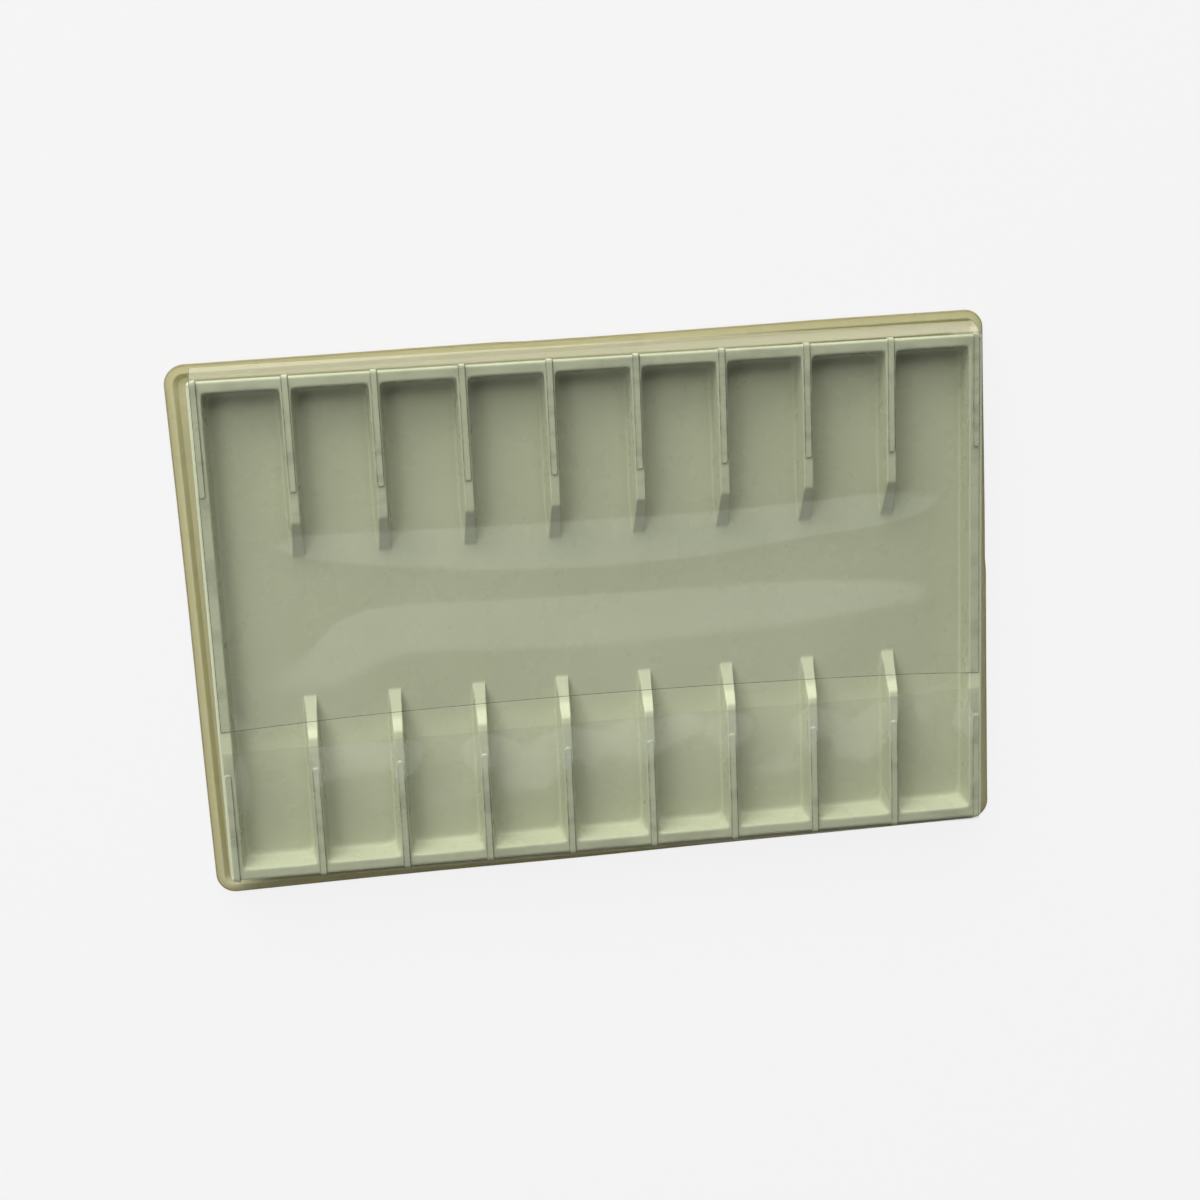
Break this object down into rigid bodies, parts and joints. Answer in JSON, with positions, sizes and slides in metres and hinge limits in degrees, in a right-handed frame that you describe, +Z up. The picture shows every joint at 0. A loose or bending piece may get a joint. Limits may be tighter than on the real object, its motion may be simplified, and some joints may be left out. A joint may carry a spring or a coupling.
{
  "type": "wet palette",
  "caption": "Shallow moulded paint tray with two rows of wells round an open mixing area, standing in its upturned lid under two panels of clear film.",
  "frame": {"origin": "on the table, under the middle of the lid's rectangle", "axes": "+X along the long side, +Y from the front long side to the back one, +Z up"},
  "size_m": [0.4, 0.2676, 0.0187],
  "materials": {
    "lid_plastic": "satin, translucent cream",
    "tray_plastic": "satin",
    "pad_fabric": "plain non-woven felt",
    "sheet_paper": "plain",
    "cover_film": "clear, glossy"
  },
  "bodies": {
    "lid": {"lid": "lid_plastic", "reservoir_pad": "pad_fabric", "membrane_sheets": "sheet_paper"},
    "tray": {"tray": "tray_plastic"},
    "film_back": {"film_back_panel": "cover_film"},
    "film_front": {"film_front_panel": "cover_film"}
  },
  "joints": [
    {"name": "tray_lift", "type": "slide", "parent": "lid", "child": "tray", "axis": [0, 0, 1], "range_m": [0, 0.06]},
    {"name": "film_back_lift", "type": "slide", "parent": "tray", "child": "film_back", "axis": [0, 0, 1], "range_m": [0, 0.06]},
    {"name": "film_front_lift", "type": "slide", "parent": "tray", "child": "film_front", "axis": [0, 0, 1], "range_m": [0, 0.06]}
  ]
}
